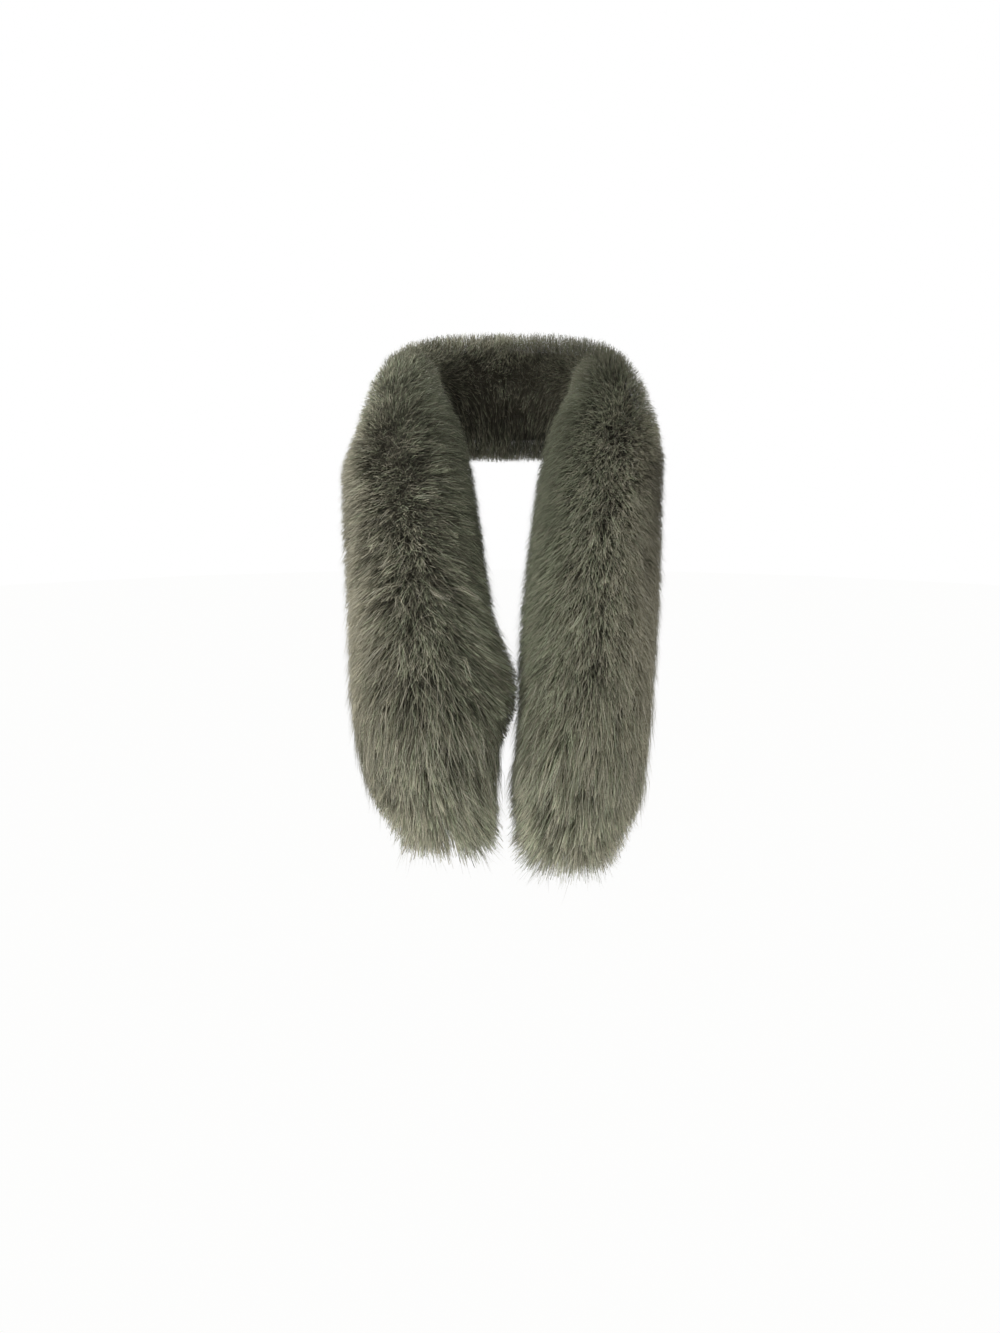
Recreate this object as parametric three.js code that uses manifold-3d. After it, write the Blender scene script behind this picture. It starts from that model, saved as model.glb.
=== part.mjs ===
// A long-haired fur collar worn round the neck: two dressed skins joined at the
// centre back, with both ends hanging on the chest.
//
// Millimetres, +Z up. The origin is where the band rests on the nape, on the
// inner face of its centre back. The wearer faces -Y, so the wearer's right is -X.
// Each skin is folded leather to leather with the hair outwards all round, so its
// solid is as thick as the folded skin with its pile, and reaches as far as the hair.

import * as THREE from 'three';
import { mergeVertices } from 'three/addons/utils/BufferGeometryUtils.js';
import Module from 'manifold-3d';

// The seam at the centre back, and between a skin and its end locks
const seamGap = 0.3;

// The course of each skin, a row for each section, from the centre back to the
// lower end. x, y and z place the middle of the section, x being the distance from
// the wearer's middle. width is across the band, depth is out from the body. turn
// and tilt aim the crown of the band: turn is 0 to the back, 90 to the side and
// 180 to the front, and tilt is up from level, all in degrees.
const rightCourse = [
  { place: 'centre back', x: 0, y: 35, z: 2, width: 98, depth: 70, turn: 0, tilt: 5 },
  { place: 'back of neck', x: 45, y: 26, z: 2, width: 96, depth: 67, turn: 32, tilt: 12 },
  { place: 'side of neck', x: 78, y: -8, z: -3, width: 94, depth: 58, turn: 72, tilt: 22 },
  { place: 'shoulder', x: 79, y: -52, z: -14, width: 92, depth: 55, turn: 100, tilt: 27 },
  { place: 'collarbone', x: 70, y: -98, z: -40, width: 92, depth: 64, turn: 142, tilt: 46 },
  { place: 'upper chest', x: 62, y: -138, z: -86, width: 95, depth: 66, turn: 168, tilt: 38 },
  { place: 'chest', x: 55, y: -172, z: -140, width: 97, depth: 66, turn: 178, tilt: 32 },
  { place: 'lower chest', x: 50, y: -200, z: -184, width: 98, depth: 66, turn: 180, tilt: 28 },
  { place: 'end of skin', x: 45, y: -218, z: -220, width: 88, depth: 62, turn: 180, tilt: 24 },
];
const leftCourse = [
  { place: 'centre back', x: 0, y: 35, z: 2, width: 98, depth: 70, turn: 0, tilt: 5 },
  { place: 'back of neck', x: 45, y: 26, z: 2, width: 96, depth: 67, turn: 32, tilt: 12 },
  { place: 'side of neck', x: 78, y: -8, z: -3, width: 94, depth: 58, turn: 72, tilt: 22 },
  { place: 'shoulder', x: 79, y: -52, z: -14, width: 90, depth: 55, turn: 100, tilt: 27 },
  { place: 'collarbone', x: 67, y: -98, z: -40, width: 86, depth: 64, turn: 142, tilt: 46 },
  { place: 'upper chest', x: 60, y: -138, z: -86, width: 88, depth: 66, turn: 168, tilt: 38 },
  { place: 'chest', x: 54, y: -175, z: -144, width: 90, depth: 66, turn: 178, tilt: 32 },
  { place: 'lower chest', x: 49, y: -204, z: -190, width: 86, depth: 66, turn: 180, tilt: 28 },
  { place: 'end of skin', x: 43, y: -223, z: -232, width: 83, depth: 62, turn: 180, tilt: 24 },
];

// The section: rounded like a brush on its crown, flatter where it lies on the body.
// bodyShare is the share of the depth that lies on the body side of the widest line.
const ringPoints = 36;
const ringSpacing = 7;
const crownRoundness = 0.86;
const bodyRoundness = 0.62;
const bodyShare = 0.46;

// The pile lies in locks like long shingles, which fan out from a parting along the
// crown. Pressed flat on the body side, they stand out less there.
const locksAround = 12;
const lockLength = 28;
const lockRelief = 5;
const lockUnevenness = 0.3;
const lockFan = 60;
const reliefFadeFromSeam = 25;
const bodyReliefShare = 0.35;
const pressedFrom = 0.3;
const pressedTo = 0.42;
const endRounding = 14;
const endNarrowing = 0.08;

// The long locks at each lower end, in rings from the middle out. reach is how far
// out a ring stands, flare how far its locks spread at the belly.
const endLockRings = [
  { count: 1, reach: 0, length: 42, flare: 0 },
  { count: 5, reach: 0.3, length: 42, flare: 2 },
  { count: 9, reach: 0.56, length: 41, flare: 3 },
  { count: 12, reach: 0.8, length: 39, flare: 5 },
  { count: 17, reach: 1, length: 35, flare: 7 },
];
const endLockSides = 4;
const endLockRootRadius = 5;
const endLockBellyRadius = 3.6;
const endLockBellyAt = 0.5;
const endLockTipFlare = 0.5;
const endLockUnevenness = 0.28;
const endStripThickness = 5;
const endLockRootDepth = 3;

// An even, repeatable scatter between 0 and 1 for the item with this number
const scatterPitch = 12.9898;
const scatterScale = 43758.5453;
function scatter(number) {
  const wave = Math.sin(number * scatterPitch) * scatterScale;
  return wave - Math.floor(wave);
}

// A scatter about 1, as far each way as unevenness says
const about1 = (number, unevenness) => 1 + unevenness * (2 * scatter(number) - 1);

const radians = THREE.MathUtils.degToRad;

// One column of a course at a place between its rows, on a smooth curve through
// them. Before the centre back the course goes on as its mirror image.
function columnAt(course, column, place) {
  const last = course.length - 1;
  const row = Math.min(Math.floor(place), last - 1);
  const share = place - row;
  const value = (index) => {
    if (index < 0) {
      const mirrored = column === 'x' || column === 'turn';
      return mirrored ? -course[1][column] : course[1][column];
    }
    if (index > last) return 2 * course[last][column] - course[last - 1][column];
    return course[index][column];
  };
  const [before, from, to, after] = [row - 1, row, row + 1, row + 2].map(value);
  const bend = 2 * before - 5 * from + 4 * to - after;
  const twist = 3 * from - before - 3 * to + after;
  return from + 0.5 * share * (to - before + share * (bend + share * twist));
}

function centreAt(course, side, place) {
  const x = side * columnAt(course, 'x', place);
  return new THREE.Vector3(x, columnAt(course, 'y', place), columnAt(course, 'z', place));
}

// The middle of the section, its size and its three directions: along the band,
// out of its crown and across it
function sectionAt(course, side, place) {
  const step = 0.0001;
  const centre = centreAt(course, side, place);
  const along = centreAt(course, side, place + step).sub(centreAt(course, side, place - step)).normalize();
  const turn = radians(columnAt(course, 'turn', place));
  const tilt = radians(columnAt(course, 'tilt', place));
  const level = Math.cos(tilt);
  const crown = new THREE.Vector3(side * Math.sin(turn) * level, Math.cos(turn) * level, Math.sin(tilt));
  crown.addScaledVector(along, -crown.dot(along)).normalize();
  const across = new THREE.Vector3().crossVectors(crown, along);
  const width = columnAt(course, 'width', place);
  const depth = columnAt(course, 'depth', place);
  return { centre, along, crown, across, width, depth };
}

// Sections spaced evenly along the course, each with its distance from the seam
function evenSections(course, side) {
  const fineSteps = 600;
  const last = course.length - 1;
  const distances = [0];
  for (let i = 1; i <= fineSteps; i += 1) {
    const from = centreAt(course, side, ((i - 1) / fineSteps) * last);
    const to = centreAt(course, side, (i / fineSteps) * last);
    distances.push(distances[i - 1] + from.distanceTo(to));
  }
  const total = distances[fineSteps];
  const count = Math.round(total / ringSpacing);
  const sections = [];
  for (let ring = 0, fine = 0; ring <= count; ring += 1) {
    const distance = (ring / count) * total;
    while (fine < fineSteps - 1 && distances[fine + 1] < distance) fine += 1;
    const share = (distance - distances[fine]) / (distances[fine + 1] - distances[fine]);
    const place = Math.min(((fine + share) / fineSteps) * last, last);
    sections.push({ ...sectionAt(course, side, place), distance, total });
  }
  return sections;
}

const softPower = (value, power) => Math.sign(value) * Math.abs(value) ** power;

// A point on the section's outline. angle is 0 on the crown and grows across the
// band. size scales the outline, and raised moves the point straight outwards.
function outlinePoint(section, angle, size, raised) {
  const onCrown = Math.cos(angle) > 0;
  const roundness = onCrown ? crownRoundness : bodyRoundness;
  const outwards = onCrown ? 1 - bodyShare : bodyShare;
  const sideways = softPower(Math.sin(angle), roundness) * (section.width / 2);
  const height = softPower(Math.cos(angle), roundness) * section.depth * outwards;
  const flat = new THREE.Vector2(sideways, height);
  const reach = flat.length();
  flat.multiplyScalar((size * reach + raised) / reach);
  const lift = section.depth * (bodyShare - 0.5);
  return section.centre.clone()
    .addScaledVector(section.across, flat.x)
    .addScaledVector(section.crown, flat.y + lift);
}

// How far a lock of the pile stands out at this distance and angle. Each row of locks
// rises from its roots to its tips, and is half a lock round from the row before.
function lockHeight(distance, angle) {
  const around = angle / (2 * Math.PI);
  const fromCrown = Math.min(around, 1 - around);
  const rows = (distance + lockFan * (1 - fromCrown)) / lockLength;
  const row = Math.floor(rows);
  const rise = rows - row;
  const locks = around * locksAround + (row % 2) / 2;
  const ridge = 0.5 + 0.5 * Math.cos(2 * Math.PI * locks);
  const uneven = about1(row * locksAround + Math.round(locks), lockUnevenness);
  const pressed = THREE.MathUtils.smoothstep(fromCrown, pressedFrom, pressedTo);
  const share = 1 - pressed * (1 - bodyReliefShare);
  return lockRelief * share * uneven * rise * ridge;
}

// A closed body through rings of points, each end closed flat round its middle
function loftRings(rings, startMiddle, endMiddle) {
  const count = rings[0].length;
  const points = [...rings.flat(), startMiddle, endMiddle];
  const start = points.length - 2;
  const end = points.length - 1;
  const index = [];
  const at = (ring, point) => ring * count + (point % count);
  for (let point = 0; point < count; point += 1) {
    index.push(start, at(0, point), at(0, point + 1));
    for (let ring = 0; ring < rings.length - 1; ring += 1) {
      index.push(at(ring, point), at(ring + 1, point), at(ring + 1, point + 1));
      index.push(at(ring, point), at(ring + 1, point + 1), at(ring, point + 1));
    }
    index.push(end, at(rings.length - 1, point + 1), at(rings.length - 1, point));
  }
  const geometry = new THREE.BufferGeometry().setFromPoints(points);
  geometry.setIndex(index);
  return geometry;
}

function skinGeometry(course, side) {
  const sections = evenSections(course, side);
  sections[0].centre.x += (side * seamGap) / 2;
  const rings = sections.map((section) => {
    const { distance, total } = section;
    const fade = THREE.MathUtils.smoothstep(distance, 0, reliefFadeFromSeam);
    const nearEnd = THREE.MathUtils.smoothstep(distance, total - endRounding, total);
    const size = 1 - endNarrowing * nearEnd;
    return Array.from({ length: ringPoints }, (_, point) => {
      const angle = (point / ringPoints) * 2 * Math.PI;
      const raised = fade * (lockHeight(distance, angle) - lockRelief / 2);
      return outlinePoint(section, angle, size, raised);
    });
  });
  return loftRings(rings, sections[0].centre, sections[sections.length - 1].centre);
}

const wasm = await Module();
wasm.setup();

function toManifold(geometry) {
  const bare = mergeVertices(geometry);
  return new wasm.Manifold(new wasm.Mesh({
    numProp: 3,
    vertProperties: new Float32Array(bare.getAttribute('position').array),
    triVerts: new Uint32Array(bare.getIndex().array),
  }));
}

function fromManifold(solid) {
  const mesh = solid.getMesh();
  const geometry = new THREE.BufferGeometry();
  geometry.setAttribute('position', new THREE.BufferAttribute(mesh.vertProperties, 3));
  geometry.setIndex(new THREE.BufferAttribute(mesh.triVerts, 1));
  return geometry;
}

// One tapered lock: from its root out to its belly, then in again to its tip
function endLockGeometry(section, root, outwards, length, flare, number) {
  const spin = scatter(number) * Math.PI;
  const middleAt = (share, spread) => root.clone()
    .addScaledVector(section.along, length * share)
    .addScaledVector(outwards, flare * spread);
  const ringAt = (middle, radius) => Array.from({ length: endLockSides }, (_, corner) => {
    const angle = spin + (corner / endLockSides) * 2 * Math.PI;
    return middle.clone()
      .addScaledVector(section.across, radius * Math.sin(angle))
      .addScaledVector(section.crown, radius * Math.cos(angle));
  });
  const rings = [
    ringAt(root, endLockRootRadius),
    ringAt(middleAt(endLockBellyAt, 1), endLockBellyRadius),
  ];
  return loftRings(rings, root, middleAt(1, endLockTipFlare));
}

// The strip that closes the skin's lower end, with the long locks rooted in it
function endLocksGeometry(course, side) {
  const section = sectionAt(course, side, course.length - 1);
  const size = 1 - endNarrowing;
  const inset = lockRelief / 2;
  const middleAt = (distance) => section.centre.clone().addScaledVector(section.along, distance);
  const ringAt = (distance) => Array.from({ length: ringPoints }, (_, point) => {
    const angle = (point / ringPoints) * 2 * Math.PI;
    return outlinePoint(section, angle, size, -inset).addScaledVector(section.along, distance);
  });
  const top = seamGap;
  const bottom = seamGap + endStripThickness;
  const rootMiddle = middleAt(bottom - endLockRootDepth);
  let solid = toManifold(loftRings([ringAt(top), ringAt(bottom)], middleAt(top), middleAt(bottom)));
  let number = side > 0 ? 300 : 0;
  endLockRings.forEach(({ count, reach, length, flare }) => {
    for (let lock = 0; lock < count; lock += 1) {
      number += 3;
      const angle = ((lock + scatter(number) / 2) / count) * 2 * Math.PI;
      const rim = outlinePoint(section, angle, size, -endLockRootRadius - inset);
      const outwards = rim.sub(section.centre);
      const root = rootMiddle.clone().addScaledVector(outwards, reach);
      const itsLength = length * about1(number + 1, endLockUnevenness);
      outwards.normalize();
      solid = solid.add(toManifold(endLockGeometry(section, root, outwards, itsLength, flare, number + 2)));
    }
  });
  return fromManifold(solid);
}

function furMesh(name, geometry, colour) {
  const material = new THREE.MeshStandardMaterial({ color: colour, roughness: 0.95, metalness: 0 });
  geometry.computeVertexNormals();
  const mesh = new THREE.Mesh(geometry, material);
  mesh.name = name;
  return mesh;
}

const rightSide = -1;
const leftSide = 1;

// Olive taupe, paler where the long guard hairs end
const skinTaupe = 0x6d695a;
const tipTaupe = 0x8a8674;

const group = new THREE.Group();
group.add(furMesh('right_skin', skinGeometry(rightCourse, rightSide), skinTaupe));
group.add(furMesh('left_skin', skinGeometry(leftCourse, leftSide), skinTaupe));
group.add(furMesh('right_end_locks', endLocksGeometry(rightCourse, rightSide), tipTaupe));
group.add(furMesh('left_end_locks', endLocksGeometry(leftCourse, leftSide), tipTaupe));

export default group;
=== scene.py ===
# %% [markdown]
# # A long-haired fur collar, hair by hair
# The real collar is two dressed fox skins, joined at the centre back, folded
# leather to leather and worn round the neck. Almost all of what shows is hair, so
# this lesson spends its effort there: a thin tube of skin for each side, then
# hairs on it as real tapered meshes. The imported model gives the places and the
# limits, and everything here is fitted inside them.

# %% Load the frame
import math

import bpy
import numpy as np
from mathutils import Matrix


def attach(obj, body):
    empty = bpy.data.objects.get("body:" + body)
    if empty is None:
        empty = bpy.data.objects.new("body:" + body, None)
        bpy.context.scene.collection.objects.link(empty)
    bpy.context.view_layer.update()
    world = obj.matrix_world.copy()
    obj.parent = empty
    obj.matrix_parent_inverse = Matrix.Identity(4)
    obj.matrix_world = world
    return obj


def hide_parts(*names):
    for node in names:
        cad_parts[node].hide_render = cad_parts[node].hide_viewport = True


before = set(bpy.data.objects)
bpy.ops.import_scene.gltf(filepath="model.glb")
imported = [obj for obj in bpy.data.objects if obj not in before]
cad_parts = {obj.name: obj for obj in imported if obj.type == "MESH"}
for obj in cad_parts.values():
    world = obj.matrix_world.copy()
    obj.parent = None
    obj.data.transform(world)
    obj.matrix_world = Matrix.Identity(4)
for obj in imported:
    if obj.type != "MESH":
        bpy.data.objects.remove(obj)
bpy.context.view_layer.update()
print("nodes:", sorted(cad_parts))

MM = 0.001


def deselect_all():
    bpy.ops.object.select_all(action="DESELECT")


# %% [markdown]
# ## Camera
# The picture was taken from about a metre in front, with the camera tipped 13
# degrees down, and its frame is upright. A 36 mm lens on a 36 mm high sensor
# sees the same slice of the scene.

# %% Camera
CAMERA_PLACE = (-0.0043, -1.005, 0.030)
CAMERA_PITCH = math.radians(13)
bpy.ops.object.camera_add(location=CAMERA_PLACE, rotation=(math.pi / 2 - CAMERA_PITCH, 0, 0))
camera = bpy.context.object
camera.data.sensor_fit = "VERTICAL"
camera.data.sensor_height = 36
camera.data.lens = 36
camera.data.clip_start = 0.05
bpy.context.scene.camera = camera
print("lens:", camera.data.lens, "mm, sensor height:", camera.data.sensor_height, "mm")

# %% [markdown]
# ## Studio and light
# The picture's background is plain white all over. A large bright dome with a
# pale floor gives that from every side. Only the camera sees them, so they don't
# flood the fur with light from behind, where the wearer would block it.

# %% Studio dome and floor
DOME_RADIUS = 8.0
DOME_GLOW = 1.0
FLOOR_HEIGHT = -1.35
FLOOR_TINT = (0.985, 0.985, 0.98)


def make_bright(piece, name, tint):
    piece.name = name
    material = bpy.data.materials.new(name)
    material.use_nodes = True
    shader = material.node_tree.nodes["Principled BSDF"]
    shader.inputs["Base Color"].default_value = (0, 0, 0, 1)
    shader.inputs["Specular IOR Level"].default_value = 0
    shader.inputs["Emission Color"].default_value = (*tint, 1)
    shader.inputs["Emission Strength"].default_value = DOME_GLOW
    piece.data.materials.append(material)
    piece.visible_diffuse = False
    piece.visible_glossy = False
    piece.visible_shadow = False
    print("bright backdrop:", name)


deselect_all()
bpy.ops.mesh.primitive_uv_sphere_add(segments=48, ring_count=24, radius=DOME_RADIUS)
make_bright(bpy.context.object, "studio_dome", (1, 1, 1))
deselect_all()
bpy.ops.mesh.primitive_circle_add(
    vertices=64, radius=DOME_RADIUS, fill_type="NGON", location=(0, 0, FLOOR_HEIGHT)
)
make_bright(bpy.context.object, "studio_floor", FLOOR_TINT)

# %% [markdown]
# The world lights the fur softly, most from the upper left in front, as in the
# picture. Large lamps add a direction for the hairs to shine in: the key lamp is
# above on the left, a weak fill is low on the right, and one behind the collar
# edges its top and lights its back.

# %% Lights
WORLD_STRENGTH = 0.825
BRIGHT_SIDE = (-0.62, -0.60, 0.50)
DIM_SIDE = 0.20


def add_softbox(name, place, power, size):
    bpy.ops.object.light_add(type="AREA", location=place)
    lamp = bpy.context.object
    lamp.name = name
    lamp.data.energy = power
    lamp.data.size = size
    aim = -lamp.location.normalized()
    lamp.rotation_euler = aim.to_track_quat("-Z", "Y").to_euler()
    print(name, power, "W")


add_softbox("key_light", (-1.5, -0.8, 0.9), 28, 0.7)
add_softbox("fill_light", (1.4, -0.9, -0.3), 6.6, 0.9)
add_softbox("back_light", (0.0, 1.8, 0.7), 55, 1.0)

world = bpy.data.worlds.new("studio_air")
bpy.context.scene.world = world
world.use_nodes = True
air = world.node_tree
background = air.nodes["Background"]
background.inputs["Strength"].default_value = WORLD_STRENGTH
direction = air.nodes.new("ShaderNodeTexCoord")
towards = air.nodes.new("ShaderNodeVectorMath")
towards.operation = "DOT_PRODUCT"
towards.inputs[1].default_value = BRIGHT_SIDE
air.links.new(direction.outputs["Generated"], towards.inputs[0])
fade = air.nodes.new("ShaderNodeMapRange")
fade.inputs["From Min"].default_value = -1
fade.inputs["To Min"].default_value = DIM_SIDE
air.links.new(towards.outputs["Value"], fade.inputs["Value"])
air.links.new(fade.outputs["Result"], background.inputs["Color"])
bpy.context.scene.view_settings.view_transform = "Standard"

# %% [markdown]
# ## The course of each skin
# Both skins follow the same kind of table as the solids do: a row for each
# section from the centre back to the lower end, in millimetres and degrees. x is
# the distance from the wearer's middle, width is across the band, depth is out
# from the body, and turn and tilt aim the crown of the band.

# %% Courses
COLUMNS = ("x", "y", "z", "width", "depth", "turn", "tilt")
RIGHT_COURSE = (
    (0, 35, 2, 98, 70, 0, 5),
    (45, 26, 2, 96, 67, 32, 12),
    (78, -8, -3, 94, 58, 72, 22),
    (79, -52, -14, 92, 55, 100, 27),
    (70, -98, -40, 92, 64, 142, 46),
    (62, -138, -86, 95, 66, 168, 38),
    (55, -172, -140, 97, 66, 178, 32),
    (50, -200, -184, 98, 66, 180, 28),
    (45, -218, -220, 88, 62, 180, 24),
)
LEFT_COURSE = (
    (0, 35, 2, 98, 70, 0, 5),
    (45, 26, 2, 96, 67, 32, 12),
    (78, -8, -3, 94, 58, 72, 22),
    (79, -52, -14, 90, 55, 100, 27),
    (67, -98, -40, 86, 64, 142, 46),
    (60, -138, -86, 88, 66, 168, 38),
    (54, -175, -144, 90, 66, 178, 32),
    (49, -204, -190, 86, 66, 180, 28),
    (43, -223, -232, 83, 62, 180, 24),
)
MIRRORED = ("x", "turn")
FINE_STEPS = 640


def unit(vectors):
    return vectors / np.linalg.norm(vectors, axis=-1, keepdims=True)


def smoothstep(value, low, high):
    share = np.clip((value - low) / (high - low), 0, 1)
    return share * share * (3 - 2 * share)


def column_along(course, name, places):
    """One column of a course on a smooth curve through its rows."""
    column = np.array([row[COLUMNS.index(name)] for row in course], float)
    before = -column[1] if name in MIRRORED else column[1]
    column = np.concatenate([[before], column, [2 * column[-1] - column[-2]]])
    row = np.clip(np.floor(places).astype(int), 0, len(course) - 2)
    share = places - row
    a, b, c, d = (column[row + k] for k in range(4))
    bend = 2 * a - 5 * b + 4 * c - d
    twist = 3 * b - a - 3 * c + d
    return b + 0.5 * share * (c - a + share * (bend + share * twist))


class Band:
    """A skin's course: its sections by their distance from the centre back."""

    def __init__(self, course, side):
        self.side = side
        places = np.linspace(0, len(course) - 1, FINE_STEPS)
        values = {name: column_along(course, name, places) for name in COLUMNS}
        centre = np.stack([side * values["x"], values["y"], values["z"]], axis=1)
        steps = np.linalg.norm(np.diff(centre, axis=0), axis=1)
        self.distance = np.concatenate([[0], np.cumsum(steps)])
        self.total = self.distance[-1]
        self.centre = centre
        self.along = unit(np.gradient(centre, axis=0))
        # both skins run straight away from their joint at the centre back
        self.along[0] = (side, 0, 0)
        turn, tilt = np.radians(values["turn"]), np.radians(values["tilt"])
        crown = np.stack(
            [side * np.sin(turn) * np.cos(tilt), np.cos(turn) * np.cos(tilt), np.sin(tilt)],
            axis=1,
        )
        # the crown leans only across the band, so what points along it is taken out
        crown -= (crown * self.along).sum(1, keepdims=True) * self.along
        self.crown = unit(crown)
        self.across = np.cross(self.crown, self.along)
        self.width, self.depth = values["width"], values["depth"]

    def at(self, distance):
        """The section at each distance. Past the end it goes straight on."""
        inside = np.clip(distance, 0, self.total)

        def pick(values):
            if values.ndim == 1:
                return np.interp(inside, self.distance, values)
            parts = [np.interp(inside, self.distance, values[:, k]) for k in range(3)]
            return np.stack(parts, axis=-1)

        along, crown, across = (unit(pick(v)) for v in (self.along, self.crown, self.across))
        centre = pick(self.centre) + along * (distance - inside)[..., None]
        return centre, along, crown, across, pick(self.width), pick(self.depth)


right_band = Band(RIGHT_COURSE, -1)
left_band = Band(LEFT_COURSE, 1)
print("lengths in mm:", round(right_band.total), round(left_band.total))

# %% [markdown]
# A section is rounded like a brush on its crown and flatter on the body side.
# The same function gives the outline of the fur and, drawn in by the depth of
# the pile, the outline of the skin beneath it.

# %% Sections
CROWN_ROUNDNESS = 0.86
BODY_ROUNDNESS = 0.62
BODY_SHARE = 0.46


def soft_power(values, power):
    return np.sign(values) * np.abs(values) ** power


def section_points(band, distance, angle, inset=0.0, size=1.0):
    """Points on the outline, and the directions outwards there."""
    centre, along, crown, across, width, depth = band.at(distance)
    on_crown = np.cos(angle) > 0
    roundness = np.where(on_crown, CROWN_ROUNDNESS, BODY_ROUNDNESS)
    share = np.where(on_crown, 1 - BODY_SHARE, BODY_SHARE)
    half, height = width / 2, depth * share
    sideways = soft_power(np.sin(angle), roundness) * np.maximum(half - inset, 1) * size
    upwards = soft_power(np.cos(angle), roundness) * np.maximum(height - inset, 1) * size
    lift = depth * (BODY_SHARE - 0.5)
    points = centre + across * sideways[..., None] + crown * (upwards + lift)[..., None]
    leaning = np.stack([sideways / half**2, upwards / height**2], axis=-1)
    leaning = unit(leaning + 1e-9)
    outwards = across * leaning[..., :1] + crown * leaning[..., 1:]
    return points, outwards, along


# %% [markdown]
# ## The skin tubes
# A skin is cut flat and rolled up with its leather inside. So each tube starts
# as a flat grid, and rolling it moves each point of the grid to its place round
# the sections. Its long edges are sewn by merging them, its lower end is drawn
# together, and Solidify gives it the thickness of leather with its underwool.

# %% Skin tubes
PILE_DEPTH = 16.0
SKIN_THICKNESS = 2.4
TUBE_POINTS = 32
TUBE_RINGS = 50
SEAM_REACH = 0.0004
END_RUN = 12.0
END_ROUNDING = 44.0
END_BLUNTNESS = 2.2
SMALLEST_SIZE = 0.001


def core_size(band, distance):
    """How the skin narrows at its lower end, as a share of its full size."""
    near_end = np.clip((distance - band.total - END_RUN + END_ROUNDING) / END_ROUNDING, 0, 1)
    return np.sqrt(np.maximum(1 - near_end**END_BLUNTNESS, 0)) + SMALLEST_SIZE


def roll_skin(name, band):
    """One skin, from a flat grid to a closed tube of leather."""
    deselect_all()
    bpy.ops.mesh.primitive_grid_add(x_subdivisions=TUBE_POINTS, y_subdivisions=TUBE_RINGS, size=1)
    tube = bpy.context.object
    tube.name = name
    flat = np.empty(len(tube.data.vertices) * 3)
    tube.data.vertices.foreach_get("co", flat)
    flat = flat.reshape(-1, 3) + 0.5
    angle = -band.side * flat[:, 0] * 2 * math.pi
    length = band.total + END_RUN
    distance = flat[:, 1] * length
    size = core_size(band, distance)
    points, _, _ = section_points(band, distance, angle, PILE_DEPTH, size)
    tube.data.vertices.foreach_set("co", (points * MM).ravel())
    bpy.ops.object.mode_set(mode="EDIT")
    bpy.ops.mesh.select_all(action="SELECT")
    bpy.ops.mesh.remove_doubles(threshold=SEAM_REACH)
    bpy.ops.mesh.normals_make_consistent(inside=False)
    bpy.ops.object.mode_set(mode="OBJECT")
    wall = tube.modifiers.new("wall", "SOLIDIFY")
    wall.thickness = SKIN_THICKNESS * MM
    wall.offset = -1
    bpy.ops.object.modifier_apply(modifier="wall")
    bpy.ops.object.shade_smooth()
    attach(tube, "root")
    print(name, "faces:", len(tube.data.polygons))
    return tube


right_tube = roll_skin("right_skin_tube", right_band)
left_tube = roll_skin("left_skin_tube", left_band)
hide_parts("right_skin")
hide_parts("left_skin")

# %% [markdown]
# ## How the hair lies
# Fur isn't even. Hairs gather in locks that come together at their tips, small
# locks gather in larger ones, and each lock has its own length, lean and tone.
# A jittered grid of lock centres on the band gives each hair its nearest lock.

# %% Locks
def nearest_lock(along_mm, around_mm, girth, pitch, rng):
    """For each hair its lock's number, and the lock's centre on the band."""
    columns = max(int(round(girth / pitch[1])), 4)
    rows = int(along_mm.max() / pitch[0]) + 4
    jitter = rng.random((rows, columns, 2))
    row = np.floor(along_mm / pitch[0]).astype(int) + 1
    column = np.floor(around_mm / girth * columns).astype(int)
    best = np.full(len(along_mm), np.inf)
    number = np.zeros(len(along_mm), int)
    centre_along = np.zeros(len(along_mm))
    centre_around = np.zeros(len(along_mm))
    for row_step in (-1, 0, 1):
        for column_step in (-1, 0, 1):
            r = np.clip(row + row_step, 0, rows - 1)
            c = column + column_step
            wrapped = c % columns
            place_along = (r - 1 + jitter[r, wrapped, 0]) * pitch[0]
            place_around = (c + jitter[r, wrapped, 1]) * girth / columns
            stretched = (place_along - along_mm) * pitch[1] / pitch[0]
            away = stretched**2 + (place_around - around_mm) ** 2
            closer = away < best
            best = np.where(closer, away, best)
            number = np.where(closer, r * columns + wrapped, number)
            centre_along = np.where(closer, place_along, centre_along)
            centre_around = np.where(closer, place_around, centre_around)
    return number, centre_along, centre_around


# %% [markdown]
# ## Hairs as meshes
# Each hair is a closed, three-sided tapered blade. No operator makes 167,000 of
# them in a few seconds, so the corners of a piece's hairs are worked out as
# arrays and go into one mesh. The UVs say where a point is on its hair: v runs
# from root to tip, and u says how pale the hair is, in its left half for the
# warmer hairs and in its right half for the greener ones. So one material can
# colour every hair of a kind.

# %% Hair meshes
HAIR_SIDES = 3
UV_SPREAD = 0.012
UV_MARGIN = 0.01
PALE_SPAN = 0.93


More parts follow.
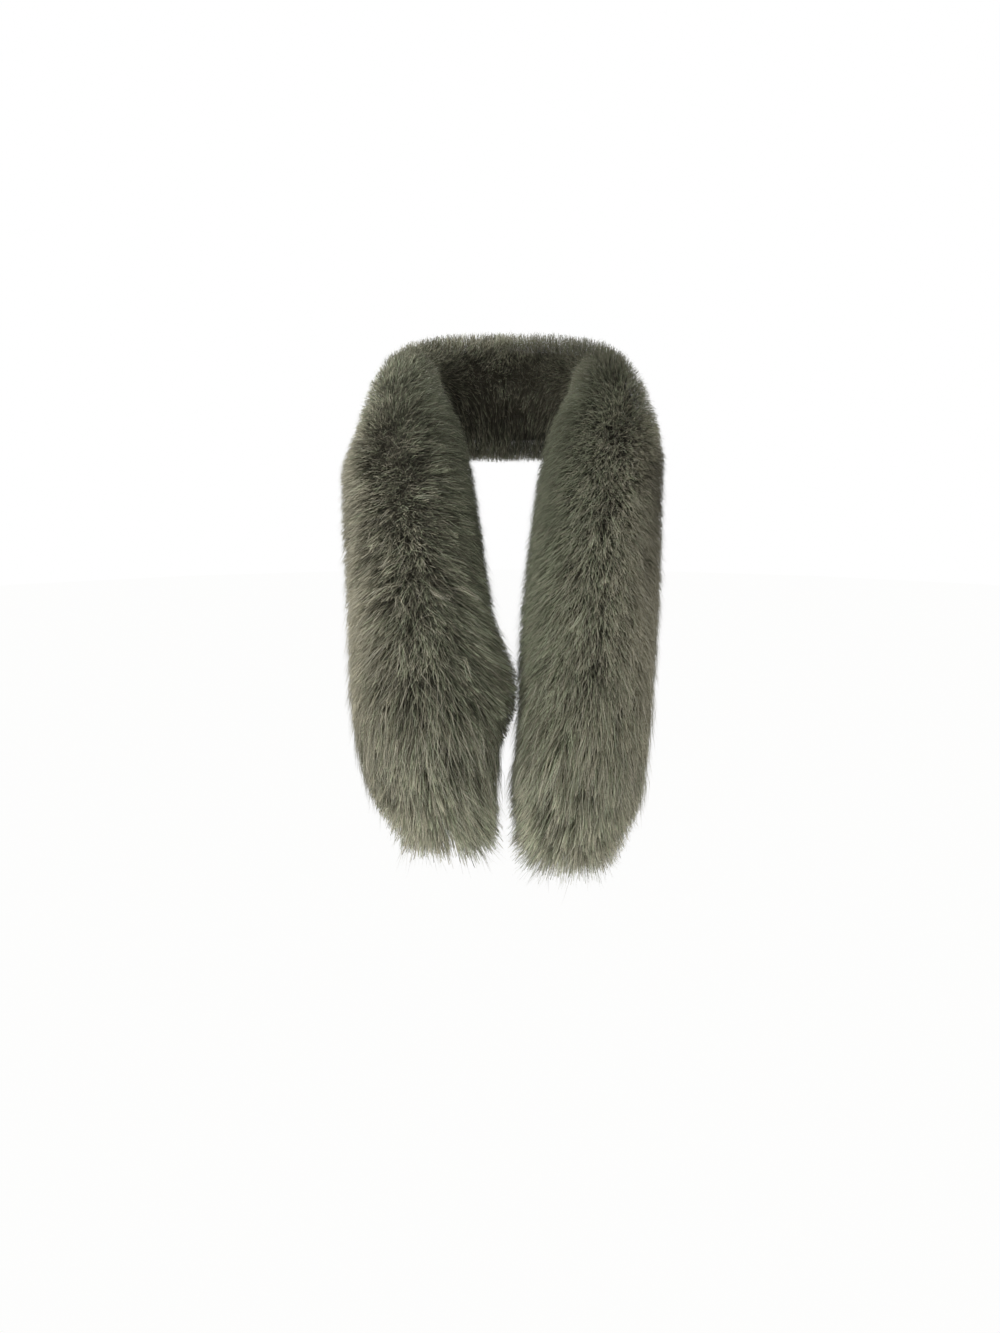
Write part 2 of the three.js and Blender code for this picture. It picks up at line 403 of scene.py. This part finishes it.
def hair_pattern(rings):
    """Corner numbers, face starts and UV offsets of one hair."""
    corners, starts, us, vs = [], [], [], []

    def face(*points):
        starts.append(len(corners))
        for number, u, v in points:
            corners.append(number)
            us.append(u)
            vs.append(v)

    face((0, 0, 0), (2, 1, 0), (1, 0, 0.15))
    for ring in range(rings - 1):
        low, high = ring * HAIR_SIDES, (ring + 1) * HAIR_SIDES
        for k in range(HAIR_SIDES):
            n = (k + 1) % HAIR_SIDES
            face(
                (low + k, k, ring),
                (low + n, k + 1, ring),
                (high + n, k + 1, ring + 1),
                (high + k, k, ring + 1),
            )
    low, tip = (rings - 1) * HAIR_SIDES, rings * HAIR_SIDES
    for k in range(HAIR_SIDES):
        n = (k + 1) % HAIR_SIDES
        face((low + k, k, rings - 1), (low + n, k + 1, rings - 1), (tip, k + 0.5, rings))
    return np.array(corners), np.array(starts), np.array(us, float), np.array(vs, float)


def build_hairs(name, curves, radii, tone, green, material, rng):
    """curves is hairs x levels x 3 in mm, the last level being the tip.

    A hair of two levels has its point hidden in the skin and its width at the tip.
    """
    hairs, levels, _ = curves.shape
    straight = levels == 2
    if straight:
        curves = curves[:, ::-1]
    rings = levels - 1
    run = unit(curves[:, -1] - curves[:, 0])
    first = unit(np.cross(run, rng.normal(size=(hairs, 3))))
    second = np.cross(run, first)
    spokes = np.arange(HAIR_SIDES) * 2 * math.pi / HAIR_SIDES
    ring = first[:, None] * np.cos(spokes)[:, None] + second[:, None] * np.sin(spokes)[:, None]
    body = curves[:, :rings, None] + ring[:, None] * radii[:, :rings, None, None]
    points = np.concatenate([body.reshape(hairs, -1, 3), curves[:, -1:]], axis=1) * MM
    corners, starts, us, vs = hair_pattern(rings)
    each = rings * HAIR_SIDES + 1
    mesh = bpy.data.meshes.new(name)
    mesh.vertices.add(hairs * each)
    mesh.vertices.foreach_set("co", points.ravel())
    mesh.loops.add(hairs * len(corners))
    indices = np.arange(hairs)[:, None] * each + corners
    mesh.loops.foreach_set("vertex_index", indices.ravel())
    mesh.polygons.add(hairs * len(starts))
    face_starts = np.arange(hairs)[:, None] * len(corners) + starts
    mesh.polygons.foreach_set("loop_start", face_starts.ravel())
    mesh.update(calc_edges=True)
    mesh.polygons.foreach_set("use_smooth", np.ones(hairs * len(starts), bool))
    uv = np.empty((hairs, len(corners), 2))
    pale = UV_MARGIN + PALE_SPAN * np.clip(tone, 0, 1)[:, None] + us * UV_SPREAD
    uv[..., 0] = 0.5 * (pale + green[:, None])
    run_up = 1 - vs / rings if straight else vs / rings
    uv[..., 1] = UV_MARGIN + (1 - 2 * UV_MARGIN) * run_up
    mesh.uv_layers.new(name="OFBake").data.foreach_set("uv", uv.ravel())
    mesh.materials.append(material)
    piece = bpy.data.objects.new(name, mesh)
    bpy.context.collection.objects.link(piece)
    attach(piece, "root")
    triangles = hairs * (2 * HAIR_SIDES * (rings - 1) + HAIR_SIDES + 1)
    print(name, "hairs:", hairs, "triangles:", triangles)
    return piece


# %% [markdown]
# ## Hair colour
# Each hair is dark and dull at its root, olive taupe along its length and paler
# at its tip. A node group mixes these from the UV map, between the colours of
# the darkest hair and those of the palest, and tints them warmer or greener.
# The pile and the guard hairs use it with their own colours, and guard hairs are
# smoother and shinier.

# %% Hair materials
WARM_TINT = (1.035, 1.0, 1.02)
GREEN_TINT = (0.90, 1.0, 0.92)
SHEEN_TINT = (0.86, 0.84, 0.72)
SHEEN_ROUGHNESS = 0.45
ROOT_TO_MIDDLE = (0.05, 0.5)
MIDDLE_TO_TIP = (0.55, 0.95)
# the colour sockets of a Mix node
SHARE, FIRST, SECOND, RESULT = 0, 6, 7, 2


def shade_group():
    group = bpy.data.node_groups.new("hair_shade", "ShaderNodeTree")
    sockets = group.interface
    for label in ("Root", "Middle", "Tip", "Pale Root", "Pale Middle", "Pale Tip"):
        sockets.new_socket(label, in_out="INPUT", socket_type="NodeSocketColor")
    sockets.new_socket("Color", in_out="OUTPUT", socket_type="NodeSocketColor")
    nodes, links = group.nodes, group.links
    start, end = nodes.new("NodeGroupInput"), nodes.new("NodeGroupOutput")
    uv = nodes.new("ShaderNodeUVMap")
    uv.uv_map = "OFBake"
    parts = nodes.new("ShaderNodeSeparateXYZ")
    links.new(uv.outputs["UV"], parts.inputs["Vector"])

    def mix(share, one, two):
        node = nodes.new("ShaderNodeMix")
        node.data_type = "RGBA"
        links.new(share, node.inputs[SHARE])
        links.new(one, node.inputs[FIRST])
        links.new(two, node.inputs[SECOND])
        return node.outputs[RESULT]

    def span(low, high):
        node = nodes.new("ShaderNodeMapRange")
        node.interpolation_type = "SMOOTHSTEP"
        links.new(parts.outputs["Y"], node.inputs["Value"])
        node.inputs["From Min"].default_value = low
        node.inputs["From Max"].default_value = high
        return node.outputs["Result"]

    def calculate(operation, value, factor=1):
        node = nodes.new("ShaderNodeMath")
        node.operation = operation
        links.new(value, node.inputs[0])
        node.inputs[1].default_value = factor
        return node.outputs[0]

    doubled = calculate("MULTIPLY", parts.outputs["X"], 2)
    pale = calculate("FRACT", doubled)
    green = calculate("FLOOR", doubled)
    middle = mix(pale, start.outputs["Middle"], start.outputs["Pale Middle"])
    tip = mix(pale, start.outputs["Tip"], start.outputs["Pale Tip"])
    root = mix(pale, start.outputs["Root"], start.outputs["Pale Root"])
    lower = mix(span(*ROOT_TO_MIDDLE), root, middle)
    whole = mix(span(*MIDDLE_TO_TIP), lower, tip)
    tint = nodes.new("ShaderNodeMix")
    tint.data_type = "RGBA"
    links.new(green, tint.inputs[SHARE])
    tint.inputs[FIRST].default_value = (*WARM_TINT, 1)
    tint.inputs[SECOND].default_value = (*GREEN_TINT, 1)
    tinted = nodes.new("ShaderNodeMix")
    tinted.data_type = "RGBA"
    tinted.blend_type = "MULTIPLY"
    tinted.inputs[SHARE].default_value = 1
    links.new(whole, tinted.inputs[FIRST])
    links.new(tint.outputs[RESULT], tinted.inputs[SECOND])
    links.new(tinted.outputs[RESULT], end.inputs["Color"])
    return group


hair_shade = shade_group()


def hair_material(name, colours, roughness, shine, sheen):
    material = bpy.data.materials.new(name)
    material.use_nodes = True
    tree = material.node_tree
    shader = tree.nodes["Principled BSDF"]
    shader.inputs["Roughness"].default_value = roughness
    shader.inputs["Specular IOR Level"].default_value = shine
    shader.inputs["Sheen Weight"].default_value = sheen
    shader.inputs["Sheen Roughness"].default_value = SHEEN_ROUGHNESS
    shader.inputs["Sheen Tint"].default_value = (*SHEEN_TINT, 1)
    shade = tree.nodes.new("ShaderNodeGroup")
    shade.node_tree = hair_shade
    for label, colour in colours.items():
        shade.inputs[label].default_value = (*colour, 1)
    tree.links.new(shade.outputs["Color"], shader.inputs["Base Color"])
    print("hair material:", name, "roughness:", roughness)
    return material


pile_material = hair_material(
    "pile_hair",
    {
        "Root": (0.043, 0.041, 0.026),
        "Middle": (0.045, 0.044, 0.028),
        "Tip": (0.088, 0.086, 0.057),
        "Pale Root": (0.17, 0.165, 0.11),
        "Pale Middle": (0.275, 0.268, 0.184),
        "Pale Tip": (0.72, 0.705, 0.52),
    },
    0.66,
    0.2,
    0.15,
)
guard_material = hair_material(
    "guard_hair",
    {
        "Root": (0.050, 0.048, 0.032),
        "Middle": (0.090, 0.087, 0.057),
        "Tip": (0.19, 0.185, 0.130),
        "Pale Root": (0.17, 0.165, 0.115),
        "Pale Middle": (0.54, 0.52, 0.385),
        "Pale Tip": (0.92, 0.90, 0.73),
    },
    0.38,
    0.4,
    0.1,
)

# %% [markdown]
# The underwool is short, dense and dull. It only shows as darkness between the
# locks, so its tube gets a dark, matted surface.

# %% Underwool material
def wool_material():
    material = bpy.data.materials.new("underwool")
    material.use_nodes = True
    tree = material.node_tree
    nodes, links = tree.nodes, tree.links
    shader = nodes["Principled BSDF"]
    shader.inputs["Roughness"].default_value = 0.95
    shader.inputs["Specular IOR Level"].default_value = 0.15
    place = nodes.new("ShaderNodeTexCoord")
    mat = nodes.new("ShaderNodeTexNoise")
    mat.inputs["Scale"].default_value = 420
    mat.inputs["Detail"].default_value = 5
    links.new(place.outputs["Object"], mat.inputs["Vector"])
    ramp = nodes.new("ShaderNodeValToRGB")
    ramp.color_ramp.elements[0].color = (0.030, 0.027, 0.020, 1)
    ramp.color_ramp.elements[1].color = (0.095, 0.088, 0.064, 1)
    links.new(mat.outputs["Fac"], ramp.inputs["Fac"])
    links.new(ramp.outputs["Color"], shader.inputs["Base Color"])
    bump = nodes.new("ShaderNodeBump")
    bump.inputs["Strength"].default_value = 0.8
    bump.inputs["Distance"].default_value = 0.002
    links.new(mat.outputs["Fac"], bump.inputs["Height"])
    links.new(bump.outputs["Normal"], shader.inputs["Normal"])
    return material


wool = wool_material()
for tube in (right_tube, left_tube):
    tube.data.materials.append(wool)

# %% [markdown]
# ## Growing the pile
# A hair starts on the skin tube and ends near the outline of the fur. It leaves
# the skin upright and bends over towards the lower end of the band. Near the
# neck it stands up, and towards the ends it lies down more and more. It also
# fans out from a parting along the crown, and beside the neck it hangs a little.
# The lists go by place on the band, from 0 at the centre back to 1 at the end of
# the skin. The first three say in millimetres how far a tip moves along the
# band, down, and away from the parting. Angles round the band are in radians
# from its crown. Where it rests on the body the pile is pressed to half its
# height, and the last list says how much of their height the rest keep.

# %% How hairs lean
PLACES = (0.0, 0.12, 0.30, 0.50, 0.70, 0.88, 1.0)
LEAN = {
    "right": (-1.5, 1.0, 3.0, 8.0, 16.0, 26.0, 32.0),
    "left": (-1.5, 1.5, 10.0, 16.5, 20.0, 26.0, 32.0),
}
HANG = (9.0, 8.0, 1.5, 0.0, 0.0, 0.0, 0.0)
FAN = (2.0, 4.0, 8.0, 12.0, 14.0, 8.0, 0.0)
FAN_SHARE = {"right": 1.0, "left": 0.8}
PARTING = {"right": 0.55, "left": 1.5}
PRESSED = (1.7, 2.7)
PRESSED_HEIGHT = 0.5
STAND_OUT = (0.3, 0.3, 0.35, 0.55, 0.8, 1.0, 1.0)
GIRTH = 240.0


def listed(values, place):
    """The value of a list at each place on the band."""
    return np.interp(place, PLACES, values)


# %% [markdown]
# The pile isn't the same height everywhere. These swells and dips, in
# millimetres, sit at a place on the band and an angle round it.

# %% Swells
SWELLS = {
    # place, angle, spread in place, spread in degrees, height
    "right": (
        (0.88, 90, 0.09, 50, 13.0),
        (1.03, 90, 0.07, 50, -10.0),
        (0.30, 0, 0.09, 80, -3.0),
    ),
    "left": (
        (0.80, 90, 0.08, 50, -2.0),
        (0.72, -90, 0.22, 45, 3.5),
    ),
}


def swell_height(side_name, place, angle):
    """How far the pile rises above its usual height."""
    height = np.zeros(len(place))
    for at, degrees, spread, wide, rise in SWELLS[side_name]:
        turned = np.abs(angle - math.radians(degrees))
        turned = np.minimum(turned, 2 * math.pi - turned) / math.radians(wide)
        height += rise * np.exp(-((place - at) / spread) ** 2 - turned**2)
    return height


# %% [markdown]
# Past the end of the skin the hairs make a round brush. It narrows slowly, leans
# a little to one side, and is trimmed by another length on its outer side than
# on its inner side.

# %% Shape of the end brush
END_REACH = 44.0
END_NARROWING = (0.02, 0.20)
END_SHIFT = {"right": 6.0, "left": -3.0}
END_TRIM = {"right": (3.0, -3.0), "left": (6.0, 3.0)}
TRIM_ROUNDNESS = 2.5
TRIM_RUN = (-10, 30)
SHIFT_RUN = (-5, 40)


def end_size(past_end):
    """How the brush narrows past the end of the skin."""
    share = np.clip(past_end / END_REACH, 0, 1)
    steady, late = END_NARROWING
    return 1 - steady * share - late * share**3


# %% [markdown]
# One function says where a hair ends. It takes the hair's place along and round
# the band, how far its tip rises above the outline, how much further it reaches
# than its neighbours, and how far the section is drawn in to fill the end.

# %% Where tips end
def tip_points(band, side_name, along_mm, around_mm, raised, further, draw_in):
    angle = (around_mm / GIRTH - 0.5) * 2 * math.pi
    parted = np.sign(angle) * smoothstep(np.abs(angle), 0.0, PARTING[side_name])
    pressed = smoothstep(np.abs(angle), *PRESSED)
    spread = listed(FAN, along_mm / band.total) * FAN_SHARE[side_name]
    angle = angle + parted * spread / GIRTH * 2 * math.pi * (1 - pressed)
    reach = along_mm + listed(LEAN[side_name], along_mm / band.total) + further
    inwards = np.sin(angle) * -band.side
    outer_trim, inner_trim = END_TRIM[side_name]
    trim = np.where(inwards < 0, outer_trim, inner_trim)
    trim = trim * np.abs(inwards) ** TRIM_ROUNDNESS
    reach = reach - trim * smoothstep(reach - band.total, *TRIM_RUN)
    past = reach - band.total
    points, outwards, _ = section_points(band, reach, angle, 0.0, end_size(past) * draw_in)
    raised = raised * (1 - PRESSED_HEIGHT * pressed)
    raised = raised + swell_height(side_name, reach / band.total, angle)
    points = points + outwards * (raised * draw_in)[:, None]
    points[:, 0] += END_SHIFT[side_name] * smoothstep(past, *SHIFT_RUN)
    points[:, 2] -= listed(HANG, along_mm / band.total) * (1 - np.abs(outwards[:, 2]))
    return points


# %% [markdown]
# There are four kinds of hair. Short straight underfur fills the pile, bent pile
# hairs make its surface, and long fine guard hairs stand out of it. The longest
# ones make the brush that closes each end. Near the end many hairs are drawn in
# towards the middle and reach further, so they fill the brush instead of
# standing round a hollow. Where the band rests on the body the fur is worn thin,
# so fewer roots are kept there.

# %% Kinds of hair
KINDS = {
    # levels, lowest and highest tip in mm, radius at the root, share of it at the last ring
    "under": (2, -8.0, -0.8, 0.125, 1.0),
    "pile": (3, -3.5, 1.3, 0.19, 0.80),
    "guard": (3, -1.0, 4.2, 0.12, 0.80),
    "brush": (4, -2.0, 4.0, 0.135, 0.80),
}
FINENESS = {"right": 1.0, "left": 0.88}
THICKNESS_VARIES = 0.22
THICKNESS_LIMITS = (0.5, 1.6)
ROOT_SWELLING = 1.15
HEIGHT_SPREAD = (2.2, 1.6)
END_FILL = {"usual": (-26.0, END_RUN), "brush": (-41.6, 0.0)}
END_FILL_REACH = 7.0
BRUSH_REACH = (-4.0, 13.0)
ON_BODY = (1.9, 2.6)
BODY_THINNING = 0.45


def scatter_roots(rng, count, span):
    """Distances along the band and angles round it."""
    distance = rng.uniform(*span, count * 2)
    angle = rng.uniform(-math.pi, math.pi, count * 2)
    on_body = smoothstep(np.abs(angle), *ON_BODY)
    keep = rng.random(count * 2) > BODY_THINNING * on_body
    return distance[keep][:count], angle[keep][:count]


# %% [markdown]
# Each size of lock pulls its hairs together, more or less in the middle of the
# band than at its end. The hairs of a lock also share a slip along and round the
# band, a rise and a tone. A few of the small locks are streaks: their hairs are
# thicker and lie close together, and they are paler, partly as paler hairs and
# partly as a painted highlight. Each small lock bows to one side, and on the
# flanks, where the fur is smoothed by wear, the locks are calmer.

# %% Locks and their habits
LOCKS = (
    # length and width in mm, pull in the middle, pull at the end, slip, rise, tone
    (3.2, 1.5, 0.35, 0.35, 1.5, 0.5, 0.11),
    (4.6, 2.7, 0.20, 0.15, 3.0, 0.8, 0.07),
    (9.0, 6.0, 0.10, 0.55, 4.5, 1.0, 0.07),
    (20.0, 13.0, 0.16, 0.08, 6.0, 1.2, 0.07),
)
HABIT_SEED = 50
STREAK_SEED = 90
BOW_SEED = 95
STREAK_LOCKS = 1
STREAK_SHARE = 0.08
STREAK_PLACES = (0.35, 0.6)
STREAK_PULL = 0.72
# streaks are paler partly as paler hairs and partly as a painted highlight
STREAK_TONE_AND_PAINTED_HIGHLIGHT = 0.5
STREAK_WIDTH = 1.45
BOW = 1.7
OWN_SLIP = (5.0, 6.0)
OWN_TONE = 0.16
LOOSENING = 0.8
NEAR_END = (0.72, 1.0)
CALM = {"right": (0.55, 0.1), "left": (0.5, 0.5)}
FLANK = (0.35, 0.9)


def calmness(side_name, inwards, near_end):
    """How much the locks on the flanks smooth out, from 0 to 1."""
    outside, inside = CALM[side_name]
    calm = np.where(inwards < 0, outside, inside) * (1 - near_end)
    return calm * smoothstep(np.abs(inwards), *FLANK)


# %% [markdown]
# Tone runs from 0 for the darkest hair to 1 for the palest. It changes along the
# band, rising towards the lower end partly as painted light and sheen. Painted
# shade darkens the side towards the other skin, where the wearer's neck would
# shade it, and painted light and shade change the outer side and the crown. The
# contrast says how much neighbouring locks differ in it. Hairs on the inner side
# are more often of the greener kind, a painted greenish cast of light there.

# %% Tones
# the rise of tone towards the lower end is partly painted light and sheen, where the hairs lie
# down
TONE = (0.20, 0.19, 0.23, 0.34, 0.49, 0.68, 0.84)
# painted shade: the side towards the other skin is darker, where the wearer's neck would shade it
INNER_PAINTED_SHADE = {
    "right": (-0.02, -0.05, -0.12, -0.42, -0.45, -0.40, -0.16),
    "left": (-0.02, -0.18, -0.25, -0.19, -0.16, -0.20, -0.12),
}
# painted light and painted shade on the outer side, changing along the band with how the lamps
# fall on it
OUTER_PAINTED_LIGHT_AND_SHADE = {
    "right": (0.0, 0.0, 0.16, -0.10, 0.06, 0.16, 0.14),
    "left": (0.0, -0.15, -0.32, -0.30, 0.04, 0.10, -0.12),
}
# painted light and shade on the crown: darker on the right skin, lighter on the left where its
# locks shade each other
CROWN_PAINTED_LIGHT_AND_SHADE = {
    "right": (0.0, 0.0, 0.05, -0.06, -0.08, -0.18, 0.0),
    "left": (0.0, 0.08, 0.20, 0.18, 0.08, -0.04, 0.0),
}
CONTRAST = {
    "right": (1.0, 1.0, 1.0, 1.0, 1.1, 1.5, 2.1),
    "left": (0.8, 0.7, 0.5, 0.4, 0.4, 0.8, 1.8),
}
INNER_PAINTED_SHADE_EDGE = (-0.1, 0.8)
OUTER_PAINTED_LIGHT_EDGE = (0.2, 0.8)
CROWN_PAINTED_LIGHT_EDGE = (0.6, 0.95)
GUARD_TONE = {"right": 0.20, "left": -0.04}
GUARD_CONTRAST = 1.5
GREEN_SHARE = 0.34
# a painted greenish cast of light: more hairs on the inner side are of the greener kind
PAINTED_GREEN_CAST_INSIDE = 0.50
PAINTED_GREEN_CAST_PLACES = (0.15, 0.40)
PAINTED_GREEN_CAST_FADE = 0.75


def tone_and_painted_light_at(side_name, place, angle, inwards):
    """The tone before locks and single hairs vary it, with painted shade on the inner side and
    painted light and shade on the outer side and crown.
    """
    tone = listed(TONE, place)
    # painted shade on the inner side, painted light and shade on the outer side and on the crown
    tone += listed(INNER_PAINTED_SHADE[side_name], place) * smoothstep(inwards, *INNER_PAINTED_SHADE_EDGE)
    tone += listed(OUTER_PAINTED_LIGHT_AND_SHADE[side_name], place) * smoothstep(-inwards, *OUTER_PAINTED_LIGHT_EDGE)
    tone += listed(CROWN_PAINTED_LIGHT_AND_SHADE[side_name], place) * smoothstep(np.cos(angle), *CROWN_PAINTED_LIGHT_EDGE)
    return tone


# %% [markdown]
# A hair bends from its upright root over to its tip along a simple curve with
# one bending point, and a little waviness keeps it from looking drawn. Where
# hairs fill the end they leave the skin lying down.

# %% Bending
UPRIGHT = 0.5
LYING_AT_END = 0.75
BENDING_POINT = 0.6
LEVEL_SPACING = 0.8
WAVE = 0.7
SKIN_OVERLAP = 1.0
SKIN_SHARE = 0.98


def bend_hairs(band, distance, angle, tip, filling, bow, levels, rng):
    """Points along each hair, from its root in the skin to its tip."""
    root_place = np.minimum(distance, band.total + END_RUN - 1)
    size = core_size(band, root_place) * SKIN_SHARE
    inset = PILE_DEPTH + SKIN_OVERLAP
    root, outwards, along = section_points(band, root_place, angle, inset, size)
    reach = np.linalg.norm(tip - root, axis=1, keepdims=True)
    upright = UPRIGHT * (1 - LYING_AT_END * filling[:, None])
    bend = root + outwards * reach * upright + along * reach * (BENDING_POINT - upright)
    shares = np.linspace(0, 1, levels) ** LEVEL_SPACING
    rows = [(1 - t) ** 2 * root + 2 * t * (1 - t) * bend + t * t * tip for t in shares]
    curves = np.stack(rows, axis=1)
    curves[:, 1:-1] += rng.normal(size=(len(root), levels - 2, 3)) * WAVE
    curves[:, 1:-1] += (np.cross(outwards, along) * bow[:, None])[:, None]
    return curves


# %% [markdown]
# All the steps come together here. The pieces of one side share the seeds of
# their locks, so underfur, pile and guard hairs gather in the same ones.

# %% Growing hairs
def grow(band, side_name, kind, count, span, seed):
    """Curves, radii and tones for hairs rooted between two distances."""
    rng = np.random.default_rng(seed)
    levels, lowest, highest, thick, thin_end = KINDS[kind]
    distance, angle = scatter_roots(rng, count, span)
    around = (angle / (2 * math.pi) + 0.5) * GIRTH
    place = distance / band.total
    near_end = smoothstep(place, *NEAR_END)
    inwards = np.sin(angle) * -band.side
    calm = calmness(side_name, inwards, near_end)

    # each hair's own slip along and round, a spare draw, its thickness and its tone
    slide, turn, _, heft, shade = rng.normal(size=(len(distance), 5)).T
    height = lowest + (highest - lowest) * rng.beta(*HEIGHT_SPREAD, len(distance))
    height = np.where(height > 0, height * listed(STAND_OUT, place), height)
    fill_span = END_FILL["brush" if kind == "brush" else "usual"]
    filling = smoothstep(distance - band.total, *fill_span)
    inner = np.sqrt(rng.random(len(distance)))
    draw_in = 1 - filling * (1 - inner)
    further = filling * END_FILL_REACH * (1 - inner**2)
    if kind == "brush":
        further = further + rng.uniform(*BRUSH_REACH, len(distance))

    def tip_of(along_mm, around_mm, raised):
        return tip_points(band, side_name, along_mm, around_mm, raised, further, draw_in)

    loose = 1 + LOOSENING * place
    slip_along, slip_round = OWN_SLIP
    tip = tip_of(distance + slide * slip_along * loose, around + turn * slip_round * loose, height)
    uneven = OWN_TONE * shade
    family = seed // 10
    for number, (length, width, middle_pull, end_pull, slip, rise, vary) in enumerate(LOCKS):
        lock_rng = np.random.default_rng(family + number)
        pitch = (length, width)
        lock, lock_along, lock_around = nearest_lock(distance, around, GIRTH, pitch, lock_rng)
        lock_count = lock.max() + 1
        habits = np.random.default_rng(family + HABIT_SEED + number).normal(size=(lock_count, 4))
        lock_slide, lock_turn, lock_rise, lock_tone = habits[lock].T
        lock_tip = tip_of(
            lock_along + lock_slide * slip,
            lock_around + lock_turn * slip,
            height + lock_rise * rise,
        )
        pull = middle_pull + (end_pull - middle_pull) * near_end
        uneven += vary * lock_tone
        if number == STREAK_LOCKS:
            chance = np.random.default_rng(family + STREAK_SEED).random(lock_count)[lock]
            streak = (chance < STREAK_SHARE) * smoothstep(place, *STREAK_PLACES)
            pull = pull + streak * (STREAK_PULL - pull)
            # streak paleness: partly paler hairs, partly a painted highlight
            uneven += streak * STREAK_TONE_AND_PAINTED_HIGHLIGHT
            bow = np.random.default_rng(family + BOW_SEED).normal(size=lock_count)[lock] * BOW
        pull = pull * (1 - calm)
        tip = tip + pull[:, None] * (lock_tip - tip)

    curves = bend_hairs(band, distance, angle, tip, filling, bow, levels, rng)
    thick = thick * FINENESS[side_name]
    thinnest, thickest = THICKNESS_LIMITS
    radius = np.clip(thick * (1 + THICKNESS_VARIES * heft), thinnest * thick, thickest * thick)
    if kind in ("guard", "pile"):
        radius = radius * (1 + (STREAK_WIDTH - 1) * streak)
    radii = radius[:, None] * np.linspace(ROOT_SWELLING, thin_end, levels)[None]
    # this tone carries painted light and shade on the sides and crown
    tone = tone_and_painted_light_at(side_name, place, angle, inwards)
    contrast = listed(CONTRAST[side_name], place) * (1 - calm)
    if kind in ("guard", "brush"):
        contrast = contrast * GUARD_CONTRAST
        tone += GUARD_TONE[side_name] * (1 - near_end)
    tone += uneven * contrast
    # painted greenish cast of light on the inner side, on top of the hairs' own random hue
    painted_green_cast_facing = inwards * smoothstep(place, *PAINTED_GREEN_CAST_PLACES) * (1 - PAINTED_GREEN_CAST_FADE * near_end)
    green = rng.random(len(distance)) < GREEN_SHARE + PAINTED_GREEN_CAST_INSIDE * painted_green_cast_facing
    return curves, radii, tone, green, rng


# %% [markdown]
# Each piece of hair stays small enough to edit. The back halves stand straight
# enough for underfur and guard hairs alone, and the bent pile hairs go where the
# pile lies down.

# %% Pieces of hair
HAIR_SHARE = 1.0
BACK_SHARE = 0.46
PILE_START = 0.8
BRUSH_DEPTH = 34


def grow_piece(name, side_name, kind, count, span, seed, material, slot):
    band = {"right": right_band, "left": left_band}[side_name]
    curves, radii, tone, green, rng = grow(
        band, side_name, kind, int(count * HAIR_SHARE), span, seed
    )
    piece = build_hairs(f"{side_name}_{name}", curves, radii, tone, green, material, rng)
    return piece


for side_name, band, seed in (("right", right_band, 110), ("left", left_band, 310)):
    half, full = band.total * BACK_SHARE, band.total + END_RUN
    bent, brush = (half * PILE_START, full), (band.total - BRUSH_DEPTH, full)
    pile, guard = (pile_material, "fur_pile"), (guard_material, "guard_hair")
    grow_piece("back_underfur", side_name, "under", 25000, (-1, half), seed, *pile)
    grow_piece("front_underfur", side_name, "under", 37000, (half, full), seed + 1, *pile)
    grow_piece("pile", side_name, "pile", 9500, bent, seed + 2, *pile)
    grow_piece("back_guard_hairs", side_name, "guard", 3600, (-1, half), seed + 3, *guard)
    grow_piece("front_guard_hairs", side_name, "guard", 6000, (half, full), seed + 4, *guard)
    grow_piece("end_brush", side_name, "brush", 2600, brush, seed + 5, *guard)
    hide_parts(f"{side_name}_end_locks")
